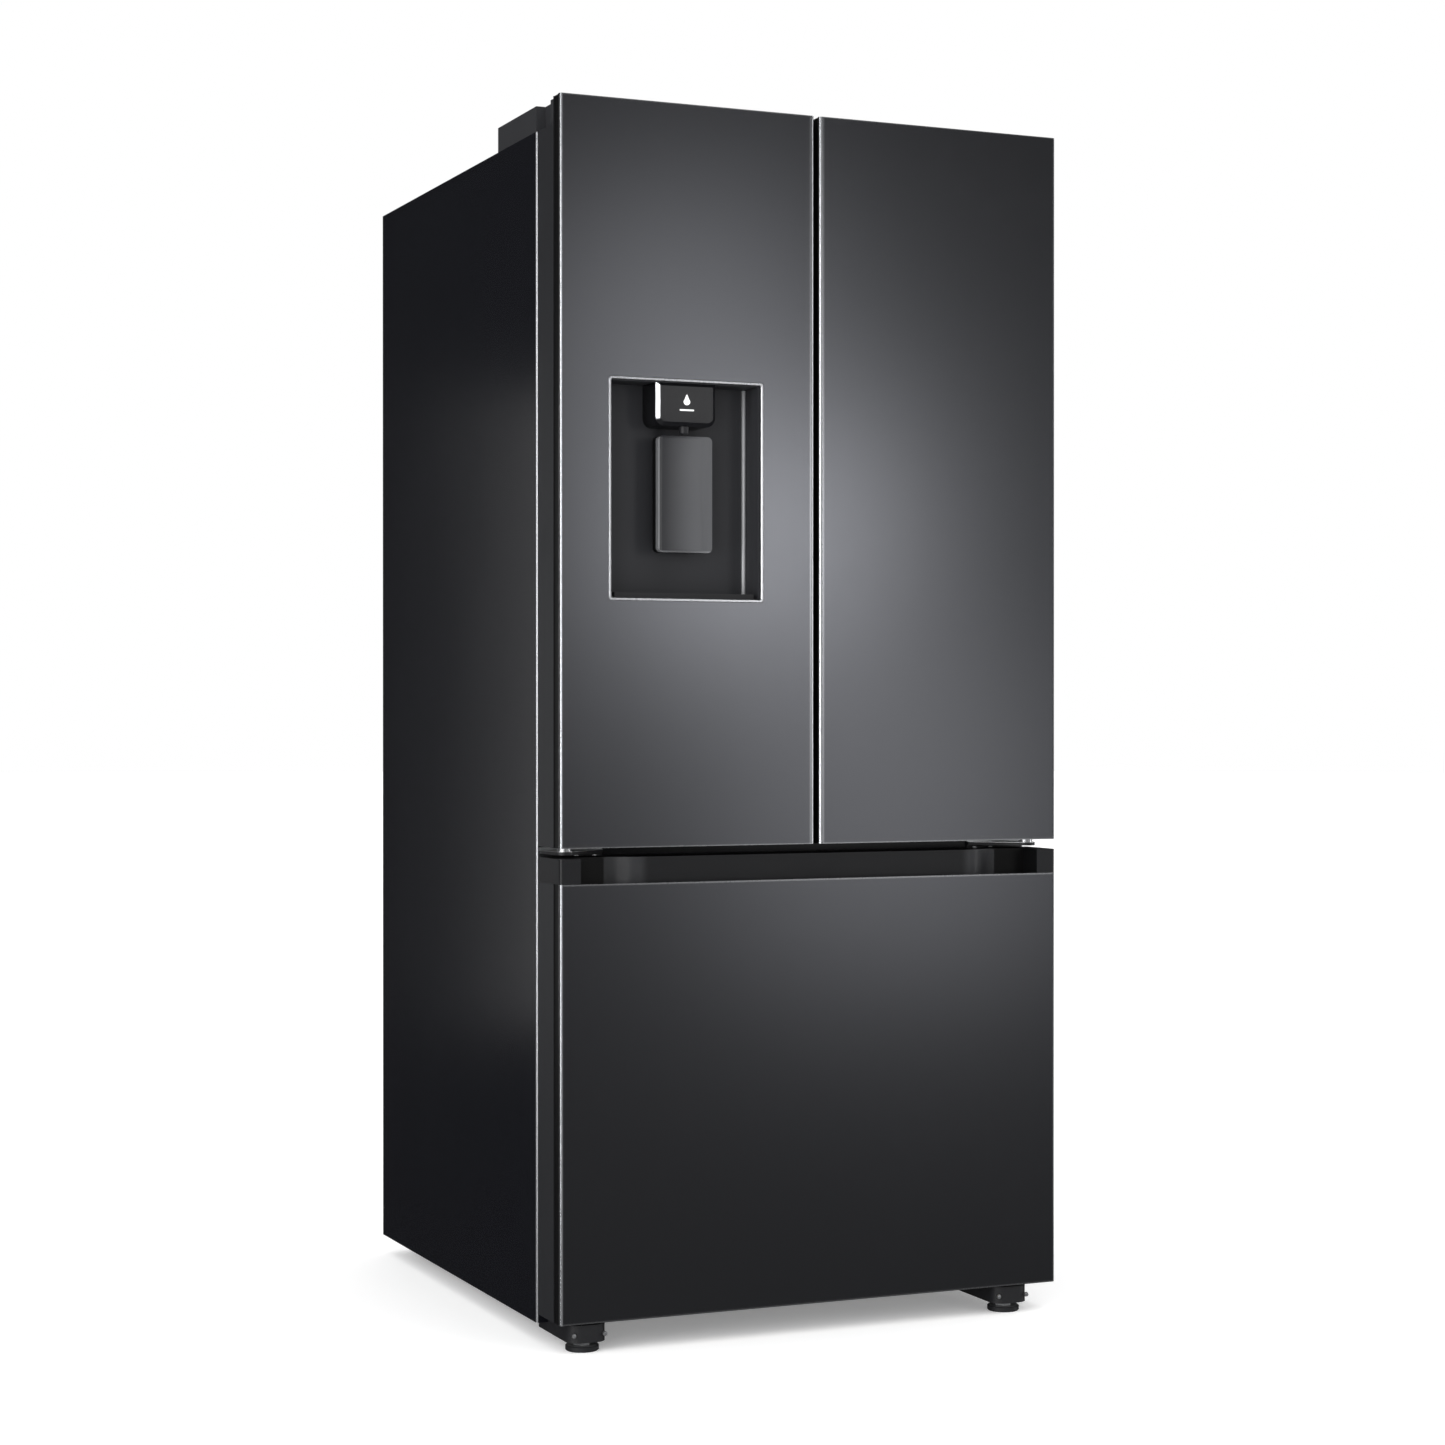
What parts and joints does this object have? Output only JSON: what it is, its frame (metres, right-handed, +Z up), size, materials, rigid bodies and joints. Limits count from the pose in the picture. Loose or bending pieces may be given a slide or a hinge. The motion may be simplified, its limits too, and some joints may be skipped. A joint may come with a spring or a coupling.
{
  "type": "french door refrigerator",
  "caption": "French door refrigerator in black steel with paired fridge doors, a water dispenser in the left door, and a full-width freezer drawer with a recessed handle.",
  "frame": {"origin": "on the floor, at the middle of the footprint", "axes": "+X to the right seen from the front, +Y from the doors to the back, +Z up"},
  "size_m": [0.8, 0.859, 1.778],
  "materials": {
    "black_steel": "satin",
    "side_paint": "satin",
    "door_body": "satin",
    "black_plastic": "matte",
    "gloss_black": "gloss",
    "paddle_plastic": "satin",
    "bright_trim": "polished",
    "liner_white": "satin",
    "foam": "matte",
    "hinge_steel": "satin",
    "zinc": "satin",
    "back_steel": "satin",
    "seal_rubber": "matte",
    "shelf_glass": "gloss",
    "clear_plastic": "gloss",
    "compressor_black": "satin",
    "condenser_steel": "matte",
    "fin_aluminium": "satin",
    "roller_plastic": "satin"
  },
  "bodies": {
    "cabinet": {"cabinet_shell": "side_paint", "insulation_foam": "foam", "back_panel": "back_steel", "fridge_liner": "liner_white", "freezer_liner": "liner_white", "center_rail": "side_paint", "base_frame": "back_steel", "leg_brackets": "black_plastic", "top_hinges": "hinge_steel", "top_hinge_covers": "black_plastic", "middle_hinges": "hinge_steel", "hinge_screws": "zinc", "compressor": "compressor_black", "condenser_coil": "condenser_steel", "compressor_cover": "back_steel", "evaporator": "fin_aluminium", "freezer_duct_cover": "liner_white", "fridge_duct_cover": "liner_white", "shelf_glass_upper": "shelf_glass", "shelf_glass_lower": "shelf_glass", "crisper_cover": "shelf_glass", "slide_outer_members": "zinc"},
    "left_door": {"left_door_skin": "black_steel", "left_door_foam": "foam", "left_door_liner": "door_body", "left_door_caps": "black_plastic", "left_door_gasket": "seal_rubber", "left_bin_upper": "clear_plastic", "left_bin_lower": "clear_plastic", "dispenser_bezel": "bright_trim", "dispenser_tub": "black_plastic", "dispenser_spout_cover": "gloss_black", "dispenser_nozzle": "black_plastic", "dispenser_drip_tray": "black_plastic"},
    "paddle": {"dispenser_paddle": "paddle_plastic"},
    "mullion": {"mullion_bar": "door_body"},
    "right_door": {"right_door_skin": "black_steel", "right_door_foam": "foam", "right_door_liner": "door_body", "right_door_caps": "black_plastic", "right_door_gasket": "seal_rubber", "right_bin_upper": "clear_plastic", "right_bin_middle": "clear_plastic", "right_bin_lower": "clear_plastic"},
    "freezer_drawer": {"drawer_skin": "black_steel", "drawer_foam": "foam", "drawer_liner": "door_body", "drawer_handle": "black_plastic", "drawer_gasket": "seal_rubber", "lower_basket": "clear_plastic", "slide_inner_members": "zinc"},
    "slide_middle": {"slide_middle_members": "zinc", "upper_basket": "clear_plastic"},
    "left_foot": {"foot_left": "black_plastic"},
    "right_foot": {"foot_right": "black_plastic"},
    "left_roller": {"rear_roller_left": "roller_plastic"},
    "right_roller": {"rear_roller_right": "roller_plastic"},
    "left_crisper": {"crisper_left": "clear_plastic"},
    "right_crisper": {"crisper_right": "clear_plastic"},
    "fan": {"condenser_fan": "black_plastic"}
  },
  "joints": [
    {"name": "left_door_swing", "type": "hinge", "parent": "cabinet", "child": "left_door", "pos_m": [-0.376, -0.3815, 1.24], "axis": [0, 0, -1], "range_deg": [0, 110]},
    {"name": "right_door_swing", "type": "hinge", "parent": "cabinet", "child": "right_door", "pos_m": [0.376, -0.3815, 1.24], "axis": [0, 0, 1], "range_deg": [0, 110]},
    {"name": "mullion_flip", "type": "hinge", "parent": "left_door", "child": "mullion", "pos_m": [-0.03, -0.3205, 1.216], "axis": [0, 0, -1], "range_deg": [0, 90]},
    {"name": "dispenser_paddle_push", "type": "hinge", "parent": "left_door", "child": "paddle", "pos_m": [-0.206, -0.3815, 1.296], "axis": [1, 0, 0], "range_deg": [0, 6], "stiffness_Nm_per_rad": 0.6},
    {"name": "freezer_drawer_slide", "type": "slide", "parent": "cabinet", "child": "freezer_drawer", "axis": [0, -1, 0], "range_m": [0, 0.42]},
    {"name": "middle_slide_travel", "type": "slide", "parent": "cabinet", "child": "slide_middle", "axis": [0, -1, 0], "range_m": [0, 0.21]},
    {"name": "left_crisper_slide", "type": "slide", "parent": "cabinet", "child": "left_crisper", "axis": [0, -1, 0], "range_m": [0, 0.025]},
    {"name": "right_crisper_slide", "type": "slide", "parent": "cabinet", "child": "right_crisper", "axis": [0, -1, 0], "range_m": [0, 0.025]},
    {"name": "left_foot_turn", "type": "hinge", "parent": "cabinet", "child": "left_foot", "pos_m": [-0.354, -0.3955, 0.02], "axis": [0, 0, 1], "continuous": true},
    {"name": "right_foot_turn", "type": "hinge", "parent": "cabinet", "child": "right_foot", "pos_m": [0.329, -0.3955, 0.02], "axis": [0, 0, 1], "continuous": true},
    {"name": "left_roller_turn", "type": "hinge", "parent": "cabinet", "child": "left_roller", "pos_m": [-0.34, 0.3505, 0.014], "axis": [1, 0, 0], "continuous": true},
    {"name": "right_roller_turn", "type": "hinge", "parent": "cabinet", "child": "right_roller", "pos_m": [0.34, 0.3505, 0.014], "axis": [1, 0, 0], "continuous": true},
    {"name": "condenser_fan_spin", "type": "hinge", "parent": "cabinet", "child": "fan", "pos_m": [-0.069, 0.3005, 0.14], "axis": [1, 0, 0], "continuous": true}
  ],
  "couplings": [
    {"joint": "middle_slide_travel", "follows": "freezer_drawer_slide", "ratio": 0.5}
  ]
}
